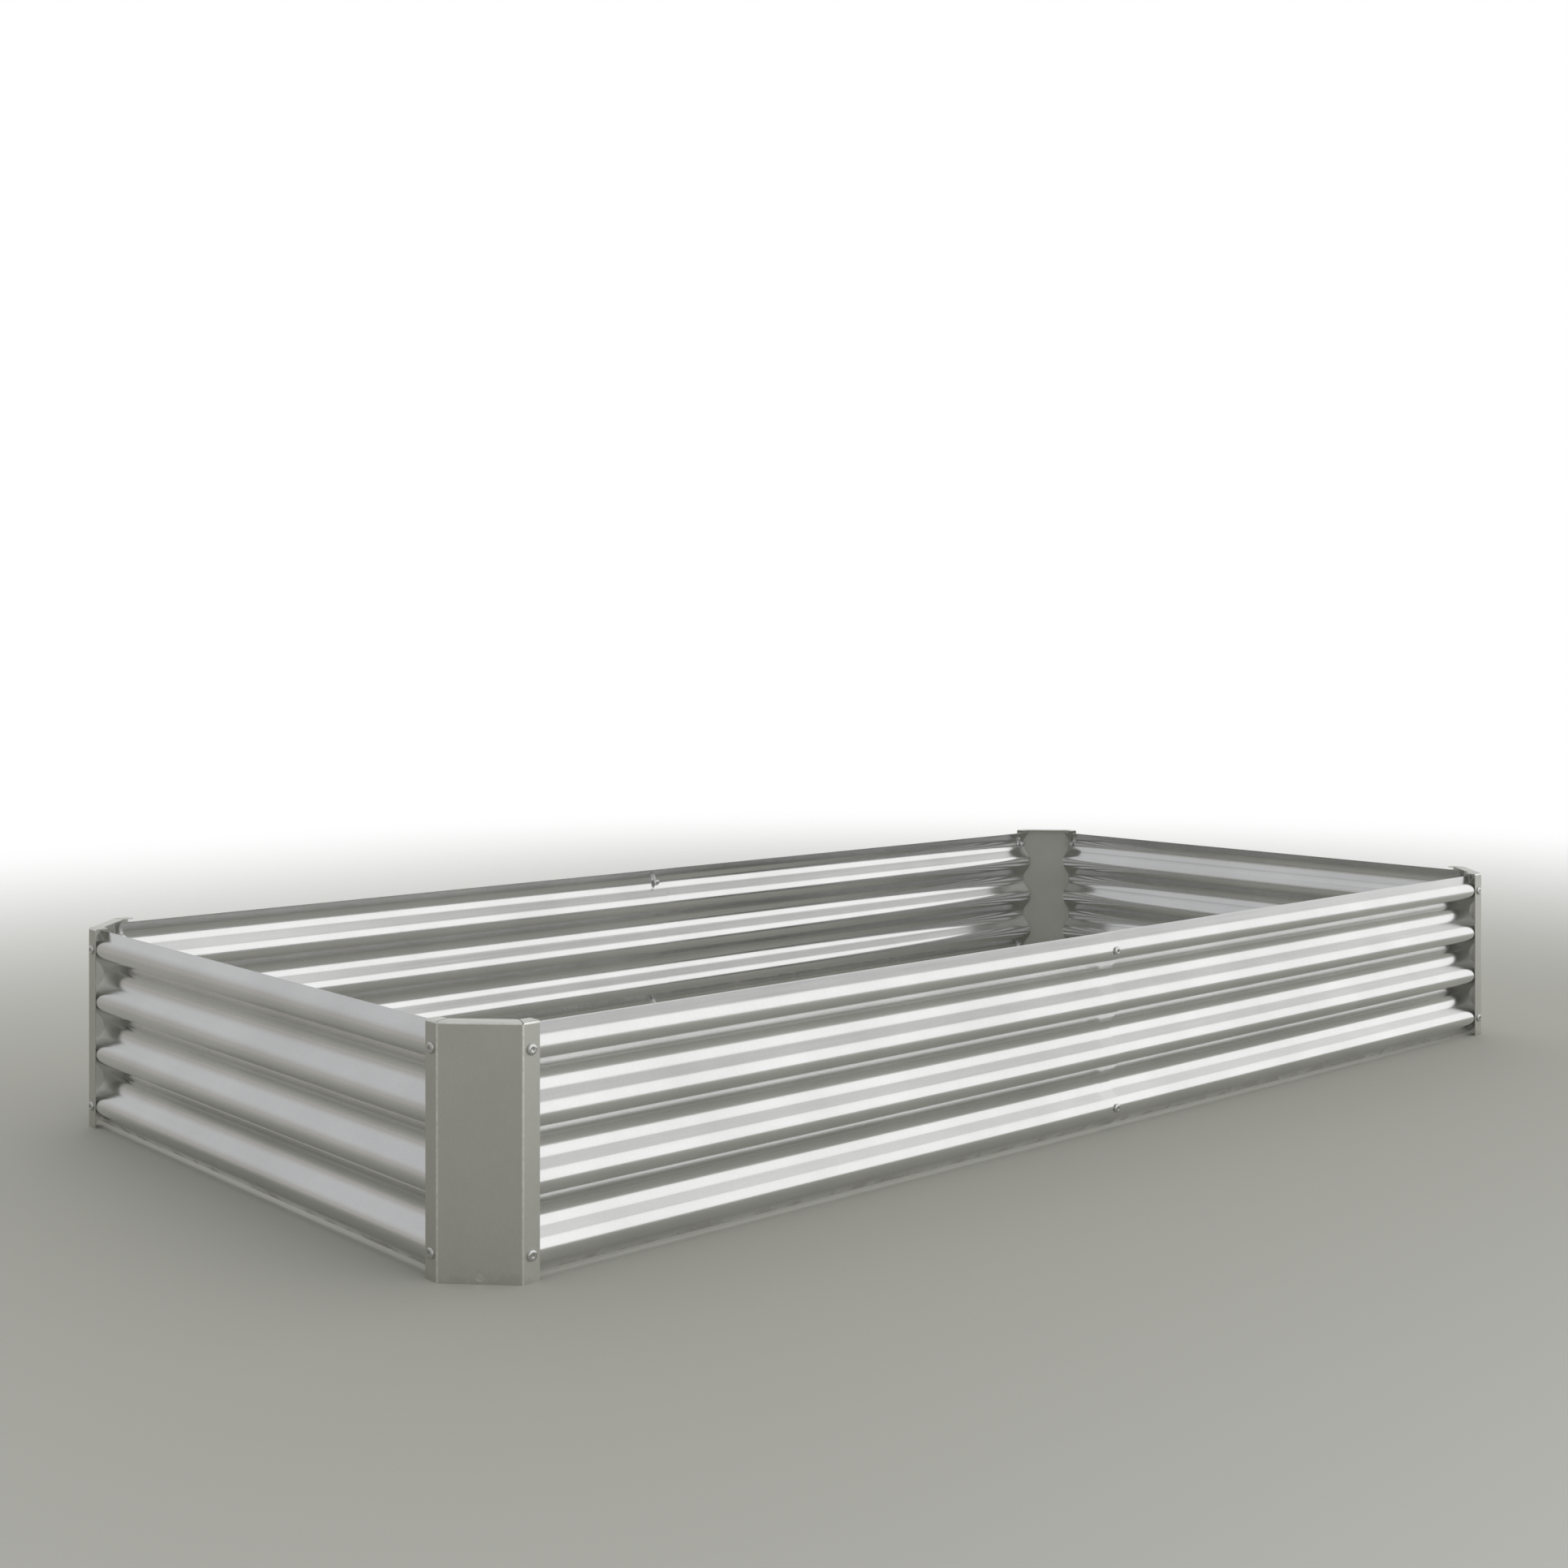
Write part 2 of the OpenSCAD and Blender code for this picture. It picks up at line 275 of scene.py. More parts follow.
def wall_frame(turn_degrees, half_depth):
    """x along a wall from its middle, y into the bed from the flanges' outer faces."""
    return Matrix.Rotation(math.radians(turn_degrees), 4, "Z") @ Matrix.Translation((0, -half_depth, 0))


def corner_frame(side_x, side_y):
    """The frame of a post: the long wall runs along +X from the corner, the end wall along +Y."""
    return (
        Matrix.Diagonal((-side_x, -side_y, 1, 1))
        @ Matrix.Translation((-HALF_LENGTH, -HALF_WIDTH, 0)))


# Corner posts

FOLD_MIDDLE = LIP_BEND_RADIUS + POST_THICKNESS / 2
POST_BEND_MIDDLE = POST_BEND_RADIUS + POST_THICKNESS / 2
POST_SETBACK = (POST_BEND_RADIUS + POST_THICKNESS) * math.tan(POST_TURN / 2)
UPRIGHT = POST_HEIGHT - LIP_BEND_RADIUS - POST_THICKNESS
FACE_RUN = CHAMFER_LEG * math.sqrt(2) - 2 * POST_SETBACK
FLANGE_RUN = FLANGE_WIDTH - POST_SETBACK
LIP_RUN = LIP_DEPTH - LIP_BEND_RADIUS - POST_THICKNESS

# How far a post wavers and at what scale, and its grid
POST_WAVER = 0.12 * MM
POST_WAVER_SCALE = (14, 9)
POST_STEP_ALONG = 8 * MM
POST_STEP_UP = 12 * MM
POST_BEND_STEPS = 8
POST_LINES_APART = 0.5 * MM


def post_plan():
    """A post's middle line seen from above, from the long wall's flange to the end wall's."""
    return BentLine(
        (CHAMFER_LEG + FLANGE_WIDTH, POST_THICKNESS / 2),
        math.pi,
        [
            (FLANGE_RUN, -POST_TURN, POST_BEND_MIDDLE),
            (FACE_RUN, -POST_TURN, POST_BEND_MIDDLE),
            (FLANGE_RUN, 0, 1)])


def post_section():
    """A face's middle line from the ground up and over into its lip: inward, then up."""
    return BentLine((0, 0), math.pi / 2, [(UPRIGHT, -math.pi / 2, FOLD_MIDDLE), (LIP_RUN, 0, 1)])


def post_grid(plan, section):
    """The grid lines of a post's sheet, and its holes: four for bolts and one at the foot."""
    middle = plan.length / 2
    bolt_us = [FLANGE_WIDTH / 2, plan.length - FLANGE_WIDTH / 2]
    bolt_vs = [LOW_CREST, HIGH_CREST]
    holes = [(u, v, SHEET_HOLE_RADIUS, BOLT_PATCH_REACH) for u in bolt_us for v in bolt_vs]
    holes.append((middle, FOOT_HOLE_HEIGHT, FOOT_HOLE_RADIUS, FOOT_PATCH_REACH))
    fixed_us = patch_lines([middle], FOOT_PATCH_REACH) + patch_lines(bolt_us, BOLT_PATCH_REACH)
    fixed_vs = patch_lines([FOOT_HOLE_HEIGHT], FOOT_PATCH_REACH)
    fixed_vs += patch_lines(bolt_vs, BOLT_PATCH_REACH)
    us = with_lines(plan.lines(POST_STEP_ALONG, POST_BEND_STEPS), fixed_us, POST_LINES_APART)
    vs = with_lines(section.lines(POST_STEP_UP, POST_BEND_STEPS), fixed_vs, POST_LINES_APART)
    return us, vs, holes


def post_mesh(node, side_x, side_y, seed):
    """A post folded from one sheet, with lips on its three faces and mitres between them."""
    plan = post_plan()
    section = post_section()
    flats = [(plan.marks[k], plan.marks[k + 1]) for k in (0, 2, 4)]
    to_world = corner_frame(side_x, side_y)
    mirrored = to_world.to_3x3()

    def shifted(u, inward):
        """Where a lip's grid line goes as its mitred ends draw back."""
        back = inward * math.tan(POST_TURN / 2)
        for number, (start, end) in enumerate(flats):
            if start - SAME_LINE <= u <= end + SAME_LINE:
                new_start = start + (back if number > 0 else 0)
                new_end = end - (back if number < len(flats) - 1 else 0)
                return new_start + (u - start) / (end - start) * (new_end - new_start)
        return u

    def place(u, v):
        (inward, up), lean = section.at(v)
        flat_u = shifted(u, inward) if v > UPRIGHT + SAME_LINE else u
        ground, heading = plan.at(flat_u)
        outward = left_of(heading)
        spot = ground - outward * inward
        waver = waviness(POST_WAVER, POST_WAVER_SCALE, u, v, seed)
        normal = Vector((outward.x * math.sin(lean), outward.y * math.sin(lean), math.cos(lean)))
        middle = Vector((spot.x, spot.y, up)) + normal * waver
        return to_world @ middle, mirrored @ normal

    def keep(u, v):
        return v < UPRIGHT or any(start < u < end for start, end in flats)

    us, vs, holes = post_grid(plan, section)
    return sheet_mesh(node, us, vs, place, POST_THICKNESS, holes, keep)


# Corrugated panels

# How far a panel wavers and at what scale, and how near a bolt that fades
WALL_WAVER = 0.15 * MM
WALL_WAVER_SCALE = (3.2, 16)
FINE_WAVER_SHARE = 0.15
FINE_WAVER_SCALE = (9, 30)
FINE_WAVER_SEED = 7
WAVER_FADE = 40 * MM

# How far it stands out at a lap, how long before the lap that starts, and over what run
BULGE_RISE = 0.45 * MM
BULGE_START = 8 * MM
BULGE_RUN = 12 * MM

# Its grid, which is finer near a lap
LAP_LINES_REACH = 12 * MM
LAP_LINES_STEP = 3 * MM
PANEL_STEP_ALONG = 18 * MM
PANEL_STEP_UP = 5 * MM
PANEL_BEND_STEPS = 14
PANEL_US_APART = 1.2 * MM
PANEL_VS_APART = 0.6 * MM


def wave_line():
    """A panel's middle line: depth behind the crests' outer plane, then height, upwards from
    the bottom of the lowest valley."""
    moves = [(0, SLOPE_ANGLE, RIDGE_RADIUS)]
    for ridge in range(RIDGE_COUNT):
        last = ridge == RIDGE_COUNT - 1
        moves.append((SLOPE_RUN, -2 * SLOPE_ANGLE, RIDGE_RADIUS))
        moves.append((SLOPE_RUN, SLOPE_ANGLE if last else 2 * SLOPE_ANGLE, RIDGE_RADIUS))
    start = (RIDGE_DEPTH + PANEL_THICKNESS / 2, LOW_CREST - HALF_PITCH)
    return BentLine(start, math.pi / 2, moves)


def panel_mesh(node, to_world, start, end, bolts, lean=0.0, pivot=0.0, lap=None, seed=0):
    """A corrugated sheet from start to end along its wall, with its crests' outer plane behind
    the flanges. lean turns it about a pivot, and lap is where a sheet behind it ends."""
    wave = wave_line()
    cut = RIDGE_RADIUS * math.asin((HALF_PITCH - EDGE_RISE) / RIDGE_RADIUS)
    turned = to_world.to_3x3()
    crest_run = RIDGE_RADIUS * SLOPE_ANGLE
    period = 4 * crest_run + 2 * SLOPE_RUN
    crests = [2 * crest_run + SLOPE_RUN + period * k for k in range(RIDGE_COUNT)]

    def bulge(u, depth):
        """How far the sheet stands out where the end of the sheet behind it presses on it."""
        if lap is None:
            return 0.0
        rise = min(1.0, max(0.0, (u - lap + BULGE_START) / BULGE_RUN))
        in_valley = min(1.0, max(0.0, depth / RIDGE_DEPTH))
        return BULGE_RISE * rise * rise * (3 - 2 * rise) * in_valley

    def place(u, v):
        (depth, height), heading = wave.at(v)
        side = left_of(heading)
        normal = Vector((0, side.x, side.y))
        waver = waviness(WALL_WAVER, WALL_WAVER_SCALE, u, v, seed)
        waver += waviness(
            WALL_WAVER * FINE_WAVER_SHARE, FINE_WAVER_SCALE, u, v, seed + FINE_WAVER_SEED)
        depth += CREST_PLANE + (pivot - u) * math.tan(lean) - bulge(u, depth)
        fade = min(1.0, min(abs(u - b) for b in bolts) / WAVER_FADE)
        return to_world @ (Vector((u, depth, height)) + normal * waver * fade), turned @ normal

    outer_crests = (crests[0], crests[-1])
    holes = [(u, v, SHEET_HOLE_RADIUS, BOLT_PATCH_REACH) for u in bolts for v in outer_crests]
    fixed_us = patch_lines(bolts, BOLT_PATCH_REACH)
    fixed_vs = patch_lines(outer_crests, BOLT_PATCH_REACH)
    if lap is not None:
        fixed_us += evenly(lap - LAP_LINES_REACH, lap + LAP_LINES_REACH, LAP_LINES_STEP)
    rows = [x for x in wave.lines(PANEL_STEP_UP, PANEL_BEND_STEPS) if cut < x < wave.length - cut]
    us = with_lines(evenly(start, end, PANEL_STEP_ALONG), fixed_us, PANEL_US_APART)
    vs = with_lines([cut] + rows + [wave.length - cut], fixed_vs, PANEL_VS_APART)
    return sheet_mesh(node, us, vs, place, PANEL_THICKNESS, holes)


def long_panels(turn, outer_node, inner_node, seed):
    """The two sheets of a long wall, which lap at its middle."""
    to_world = wall_frame(turn, HALF_WIDTH)
    past = LONG_BOLT + PANEL_PAST_BOLT
    outer = panel_mesh(
        outer_node, to_world, -past, LAP_OUTER, [-LONG_BOLT, 0],
        lap=-LAP_INNER, seed=seed)
    inner = panel_mesh(
        inner_node, to_world, -LAP_INNER, past, [0, LONG_BOLT],
        lean=LAP_LEAN, pivot=LONG_BOLT, seed=seed + 1)
    for node, mesh in ((outer_node, outer), (inner_node, inner)):
        dress(node, mesh, long_wall_metal, PANEL_ROUNDING)


def end_panel(turn, node, seed):
    """The one sheet of an end wall."""
    past = END_BOLT + PANEL_PAST_BOLT
    mesh = panel_mesh(
        node, wall_frame(turn, HALF_LENGTH), -past, past, [-END_BOLT, END_BOLT], seed=seed)
    dress(node, mesh, end_wall_metal, PANEL_ROUNDING)


# Fasteners

# How many sides a ring has, and a hexagon's inner radius as a share of its outer one
ROUND = 0
HEXAGON = 6
HEXAGON_INSET = math.cos(math.radians(30))

HEAD_RADIUS = 7 * MM
HEAD_HEIGHT = 3.3 * MM
HEAD_RIM = 1 * MM
HEAD_FLAT_RADIUS = 3.75 * MM
HEAD_FLAT_INSET = 0.3 * MM
HEAD_SEAT_CHAMFER = 0.2 * MM
DOME_STEPS = 6
SOCKET_FLATS = 4 * MM
SOCKET_RADIUS = SOCKET_FLATS / 2 / HEXAGON_INSET
SOCKET_DEPTH = 2 * MM
SOCKET_POINT = 0.3 * MM
SOCKET_POINT_SHARE = 0.1
SOCKET_CHAMFER = 0.25 * MM
SOCKET_LIP = 0.02 * MM
SHANK_RADIUS = 3 * MM
SHANK_LENGTH = 12 * MM
SHANK_TIP_TAPER = 0.5 * MM
SHANK_TIP_INSET = 0.7 * MM
THREAD_PITCH = 1 * MM
THREAD_DEPTH = 0.5 * MM
RINGS_PER_TURN = 4
THREAD_START_RINGS = 4
THREAD_END_RINGS = 3
WASHER_PLAY = 0.2 * MM
WASHER_BORE = SHANK_RADIUS + WASHER_PLAY
WASHER_CHAMFER = 0.15 * MM
NUT_FLATS = 10 * MM
NUT_CIRCLE = NUT_FLATS / 2 / HEXAGON_INSET
NUT_HEIGHT = 5 * MM
NUT_BORE = 3.05 * MM
NUT_MOUTH = 0.4 * MM
NUT_FACE_SHARE = 0.88
NUT_CONE = math.radians(30)
NUT_SEGMENTS = 48
FASTENER_SEGMENTS = 36

# Degrees that each fastener is turned by, so that they don't look alike
CORNER_SPIN = 20
SPIN_FOR_SIDES = (31, 17)
SPIN_FOR_FLANGE = 23
SPIN_FOR_HEIGHT = 11
JOINT_SPIN = 9
JOINT_SPIN_FOR_HEIGHT = 25


def ring_radius(radius, angle, sides):
    """The radius at an angle of a circle, or of a polygon with that many sides."""
    if sides == ROUND:
        return radius
    sector = 2 * math.pi / sides
    return radius * math.cos(sector / 2) / math.cos((angle % sector) - sector / 2)


def lathe(built, rings, segments, to_world, closed=False):
    """Turns rings of (radius, height, sides, thread) into a surface, where thread is a depth
    and a phase, or None. Its ends are capped, or joined to each other if it is closed."""
    loops = []
    for radius, height, sides, thread in rings:
        loop = []
        for k in range(segments):
            angle = 2 * math.pi * k / segments
            reach = ring_radius(radius, angle, sides)
            if thread:
                phase = (thread[1] - k / segments) % 1.0
                reach -= thread[0] * abs(2 * phase - 1)
            spot = Vector((reach * math.cos(angle), reach * math.sin(angle), height))
            loop.append(built.verts.new(to_world @ spot))
        loops.append(loop)
    pairs = list(zip(loops, loops[1:]))
    if closed:
        pairs.append((loops[-1], loops[0]))
    for lower, upper in pairs:
        for k in range(segments):
            after = (k + 1) % segments
            built.faces.new([lower[k], lower[after], upper[after], upper[k]])
    if not closed:
        for loop in (loops[0], loops[-1]):
            built.faces.new(loop)


def head_rings():
    """A button head's rings, from the point of its hexagon socket round to its seat."""
    rings = [
        (SOCKET_RADIUS * SOCKET_POINT_SHARE, -HEAD_HEIGHT + SOCKET_DEPTH, HEXAGON, None),
        (SOCKET_RADIUS, -HEAD_HEIGHT + SOCKET_DEPTH - SOCKET_POINT, HEXAGON, None),
        (SOCKET_RADIUS, -HEAD_HEIGHT + SOCKET_CHAMFER, HEXAGON, None),
        (SOCKET_RADIUS + SOCKET_CHAMFER, -HEAD_HEIGHT + SOCKET_LIP, ROUND, None),
        (HEAD_FLAT_RADIUS - HEAD_FLAT_INSET, -HEAD_HEIGHT, ROUND, None)]
    for k in range(DOME_STEPS + 1):
        angle = math.pi / 2 * k / DOME_STEPS
        reach = HEAD_FLAT_RADIUS + (HEAD_RADIUS - HEAD_FLAT_RADIUS) * math.sin(angle)
        height = -HEAD_RIM - (HEAD_HEIGHT - HEAD_RIM) * math.cos(angle)
        rings.append((reach, height, ROUND, None))
    rings.append((HEAD_RADIUS, -HEAD_SEAT_CHAMFER, ROUND, None))
    rings.append((HEAD_RADIUS - HEAD_SEAT_CHAMFER, 0, ROUND, None))
    return rings


def shank_rings():
    """A threaded shank's rings, along +Z from the head's seat. The thread runs in and out."""
    rings = [(SHANK_RADIUS, 0, ROUND, None)]
    steps = round(SHANK_LENGTH / THREAD_PITCH * RINGS_PER_TURN)
    for k in range(1, steps):
        height = SHANK_LENGTH * k / steps
        taper = min(1.0, (steps - k) / THREAD_END_RINGS)
        depth = THREAD_DEPTH * min(1.0, k / THREAD_START_RINGS)
        radius = SHANK_RADIUS - SHANK_TIP_TAPER * (1 - taper)
        rings.append((radius, height, ROUND, (depth * taper, height / THREAD_PITCH)))
    rings.append((SHANK_RADIUS - SHANK_TIP_INSET, SHANK_LENGTH, ROUND, None))
    return rings


def washer_rings():
    """A flat washer's rings, from its bore round its outer edge and back."""
    inner_radius = WASHER_RADIUS - WASHER_CHAMFER
    return [
        (WASHER_BORE, 0, ROUND, None),
        (inner_radius, 0, ROUND, None),
        (WASHER_RADIUS, WASHER_CHAMFER, ROUND, None),
        (WASHER_RADIUS, WASHER_THICKNESS - WASHER_CHAMFER, ROUND, None),
        (inner_radius, WASHER_THICKNESS, ROUND, None),
        (WASHER_BORE, WASHER_THICKNESS, ROUND, None)]


def nut_profile(angle):
    """A nut's outline at an angle, as radii and heights: its bore, faces, cones and side."""
    face_radius = NUT_CIRCLE * NUT_FACE_SHARE
    hexagon = ring_radius(NUT_CIRCLE, angle, HEXAGON)
    drop = max(0.0, hexagon - face_radius) * math.tan(NUT_CONE)
    top = min(face_radius, hexagon)
    return [
        (NUT_BORE, NUT_MOUTH), (NUT_BORE + NUT_MOUTH, 0), (top, 0), (hexagon, drop),
        (hexagon, NUT_HEIGHT - drop), (top, NUT_HEIGHT), (NUT_BORE + NUT_MOUTH, NUT_HEIGHT),
        (NUT_BORE, NUT_HEIGHT - NUT_MOUTH)]


def nut_mesh_into(built, to_world):
    """A hexagon nut whose corners are turned down to a cone at both faces."""
    loops = []
    for k in range(NUT_SEGMENTS):
        angle = 2 * math.pi * k / NUT_SEGMENTS
        turn = Vector((math.cos(angle), math.sin(angle), 0))
        spots = [turn * radius + Vector((0, 0, height)) for radius, height in nut_profile(angle)]
        loops.append([built.verts.new(to_world @ spot) for spot in spots])
    for k, here in enumerate(loops):
        after = loops[(k + 1) % NUT_SEGMENTS]
        for n in range(len(here)):
            m = (n + 1) % len(here)
            gaps = ((here[n].co - here[m].co).length, (after[n].co - after[m].co).length)
            if m == 0 or max(gaps) > SAME_POINT:
                built.faces.new([here[n], after[n], after[m], here[m]])


def through_wall(place, along, height, depth, spin):
    """Turns a fastener's +Z to point into the bed, at a place of a wall or corner frame."""
    inward = Matrix.Rotation(-math.pi / 2, 4, "X")
    return (
        place @ Matrix.Translation((along, depth, height)) @ inward
        @ Matrix.Rotation(math.radians(spin), 4, "Z"))


def corner_places(side_x, side_y, depth):
    """The four bolt places of a corner's two flanges."""
    place = corner_frame(side_x, side_y)
    swapped = Matrix(((0, 1, 0, 0), (1, 0, 0, 0), (0, 0, 1, 0), (0, 0, 0, 1)))
    spin = CORNER_SPIN + SPIN_FOR_SIDES[0] * side_x + SPIN_FOR_SIDES[1] * side_y
    made = []
    for number, flange in enumerate((place, place @ swapped)):
        for step, height in enumerate((LOW_CREST, HIGH_CREST)):
            turn = spin + SPIN_FOR_FLANGE * number + SPIN_FOR_HEIGHT * step
            made.append(through_wall(flange, FLANGE_BOLT, height, depth, turn))
    return made


def joint_places(turn, depth):
    """The two bolt places of the lap at a long wall's middle."""
    place = wall_frame(turn, HALF_WIDTH)
    return [
        through_wall(place, 0, height, depth, JOINT_SPIN + JOINT_SPIN_FOR_HEIGHT * step)
        for step, height in enumerate((LOW_CREST, HIGH_CREST))]


def hollow_rise():
    """How far a washer stands off the inner side of a crest."""
    hollow = RIDGE_RADIUS - PANEL_THICKNESS / 2
    return hollow - math.sqrt(hollow ** 2 - WASHER_RADIUS ** 2)


def fastener_sets(label, places_at, head_depth, washer_depth):
    """The bolts, washers and nuts of one corner or joint, a piece for each kind."""
    bolts = bmesh.new()
    for place in places_at(head_depth):
        lathe(bolts, head_rings() + shank_rings(), FASTENER_SEGMENTS, place)
    washers = bmesh.new()
    for place in places_at(washer_depth):
        lathe(washers, washer_rings(), FASTENER_SEGMENTS, place, closed=True)
    nuts = bmesh.new()
    for place in places_at(washer_depth + WASHER_THICKNESS):
        nut_mesh_into(nuts, place)
    sets = (
        ("bolts_", bolts, "bolt"),
        ("washers_", washers, "washer_and_nut"),
        ("nuts_", nuts, "washer_and_nut"))
    for kind, built, slot in sets:
        bmesh.ops.recalc_face_normals(built, faces=built.faces)
        node = kind + label
        dress(node, finished_mesh(node, built), fastener_metal, FASTENER_ROUNDING)


# Materials

# The coatings: their colour and roughness, the fine marks' scale along X, Y and Z and their
# depth, and how much dark film is painted at the ground, in place of the dark ground that the metal
# reflects
PANEL_COLOUR = (0.725, 0.725, 0.72)
PANEL_ROUGHNESS = 0.17
PANEL_GRAIN_DEPTH = 0.006 * MM
PANEL_DARK_FILM_SHARE = 0.35
LONG_WALL_GRAIN = (6, 260, 260)
END_WALL_GRAIN = (260, 6, 260)
POST_COLOUR = (0.56, 0.562, 0.525)
POST_ROUGHNESS = 0.52
POST_GRAIN = (320, 320, 60)
POST_GRAIN_DEPTH = 0.01 * MM
POST_DARK_FILM_SHARE = 0.25
FASTENER_COLOUR = (0.6, 0.6, 0.59)
FASTENER_ROUGHNESS = 0.12
FASTENER_GRAIN = (900, 900, 900)
FASTENER_GRAIN_DEPTH = 0.004 * MM

# Their noises: scale and detail, the span of the noise in use, and what that span gives
MOTTLE_NOISE = (7.0, 4.0)
MOTTLE_SPAN = (0.3, 0.7)
MOTTLE_TONES = (0.95, 1.04)
SPECKLE_NOISE = (420.0, 2.0)
SPECKLE_SPAN = (0.2, 0.8)
SPECKLE_TONES = (0.97, 1.03)
GRAIN_NOISE = (1.0, 5.0)
GRAIN_SPAN = (0.25, 0.75)
ROUGHNESS_SPREAD = 0.035
HIGHLIGHT_PATCH_NOISE = (160.0, 3.0)
HIGHLIGHT_PATCH_SPAN = (0.35, 0.6)
DARK_FILM_NOISE = (26.0, 5.0)
DARK_FILM_SPAN = (0.3, 0.7)

# A dark film painted near the ground in place of the dark ground that the metal reflects, and
# the places of the posts painted bright as a highlight
DARK_FILM_HEIGHT = 14 * MM
DARK_FILM_COLOUR = (0.19, 0.17, 0.12, 1)
DARK_FILM_ROUGHNESS = 0.5
BEND_HIGHLIGHT_FULL = 0.9 * MM
BEND_HIGHLIGHT_END = 2 * MM
FOLD_HIGHLIGHT_FULL = 2.4 * MM
FOLD_HIGHLIGHT_END = 3.6 * MM
FOLD_HIGHLIGHT_TOP = 0.8 * MM
HIGHLIGHT_LEAST = 0.55
BEND_HIGHLIGHT_COLOUR = (0.86, 0.86, 0.83, 1)
HIGHLIGHT_POLISH = 0.2


class Graph:
    """Builds a shader tree. An input is a number, a tuple, or another node's output."""

    def __init__(self, tree):
        self.nodes = tree.nodes
        self.links = tree.links

    def feed(self, node, inputs):
        for name, value in inputs.items():
            if isinstance(value, bpy.types.NodeSocket):
                self.links.new(value, node.inputs[name])
            else:
                node.inputs[name].default_value = value

    def add(self, kind, inputs, output=0, **settings):
        """The output of a new node of that kind, with those inputs and settings."""
        node = self.nodes.new("ShaderNode" + kind)
        for name, value in settings.items():
            setattr(node, name, value)
        self.feed(node, inputs)
        return node.outputs[output]

    def math(self, operation, first, second=0.0):
        return self.add("Math", {0: first, 1: second}, operation=operation)

    def ranged(self, value, low, high, start, end, interpolation="LINEAR"):
        """The value's run from low to high, turned into a run from start to end and held there."""
        limits = {"Value": value, "From Min": low, "From Max": high, "To Min": start, "To Max": end}
        return self.add("MapRange", limits, interpolation_type=interpolation)

    def smooth(self, value, low, high, start=0.0, end=1.0):
        return self.ranged(value, low, high, start, end, "SMOOTHSTEP")

    def noise(self, place, scale, detail):
        return self.add("TexNoise", {"Vector": place, "Scale": scale, "Detail": detail}, "Fac")

    def stretched(self, place, scale):
        return self.add("Mapping", {"Vector": place, "Scale": scale})

    def colours(self, factor, first, second):
        """A mix of two colours, each a tuple of four or an output."""
        return self.add("Mix", {0: factor, 6: first, 7: second}, 2, data_type="RGBA")

    def split(self, vector):
        """The x, y and z of a vector."""
        node = self.nodes.new("ShaderNodeSeparateXYZ")
        self.links.new(vector, node.inputs["Vector"])
        return node.outputs["X"], node.outputs["Y"], node.outputs["Z"]

    def length(self, first, second):
        """How long a vector with those two parts is."""
        squares = [self.math("MULTIPLY", part, part) for part in (first, second)]
        return self.math("SQRT", self.math("ADD", *squares))


def highlighted_bends(graph, place):
    """1 on the upright bends of the posts and on the folds at their tops, where a highlight is painted,
    and 0 elsewhere.
    """
    x, y, z = graph.split(place)
    along = graph.math("ABSOLUTE", x)
    across = graph.math("ABSOLUTE", y)
    reaches = []
    bends = ((HALF_LENGTH - CHAMFER_LEG, HALF_WIDTH), (HALF_LENGTH, HALF_WIDTH - CHAMFER_LEG))
    for bend_x, bend_y in bends:
        past_x = graph.math("SUBTRACT", along, bend_x)
        past_y = graph.math("SUBTRACT", across, bend_y)
        reaches.append(graph.length(past_x, past_y))
    upright = graph.smooth(graph.math("MINIMUM", *reaches), BEND_HIGHLIGHT_FULL, BEND_HIGHLIGHT_END, 1, 0)
    fold_low = graph.smooth(z, POST_HEIGHT - FOLD_HIGHLIGHT_END, POST_HEIGHT - FOLD_HIGHLIGHT_FULL)
    fold_high = graph.smooth(z, POST_HEIGHT - FOLD_HIGHLIGHT_TOP, POST_HEIGHT - FOLD_HIGHLIGHT_TOP / 2, 1, 0)
    return graph.math("MAXIMUM", upright, graph.math("MULTIPLY", fold_low, fold_high))


def metal_tone(graph, place):
    """Soft mottling and a fine speckle, as a share of the metal's colour."""
    mottle = graph.ranged(graph.noise(place, *MOTTLE_NOISE), *MOTTLE_SPAN, *MOTTLE_TONES)
    speckle = graph.ranged(graph.noise(place, *SPECKLE_NOISE), *SPECKLE_SPAN, *SPECKLE_TONES)
    return graph.math("MULTIPLY", mottle, speckle)


def painted_dark_film(graph, place, share):
    """How much painted dark film covers the metal: that share at the ground, up to a ragged edge."""
    height = graph.split(place)[2]
    blotches = graph.noise(place, *DARK_FILM_NOISE)
    ragged = graph.ranged(blotches, *DARK_FILM_SPAN, -DARK_FILM_HEIGHT, DARK_FILM_HEIGHT)
    return graph.smooth(graph.math("ADD", height, ragged), 0.0, DARK_FILM_HEIGHT, share, 0.0)


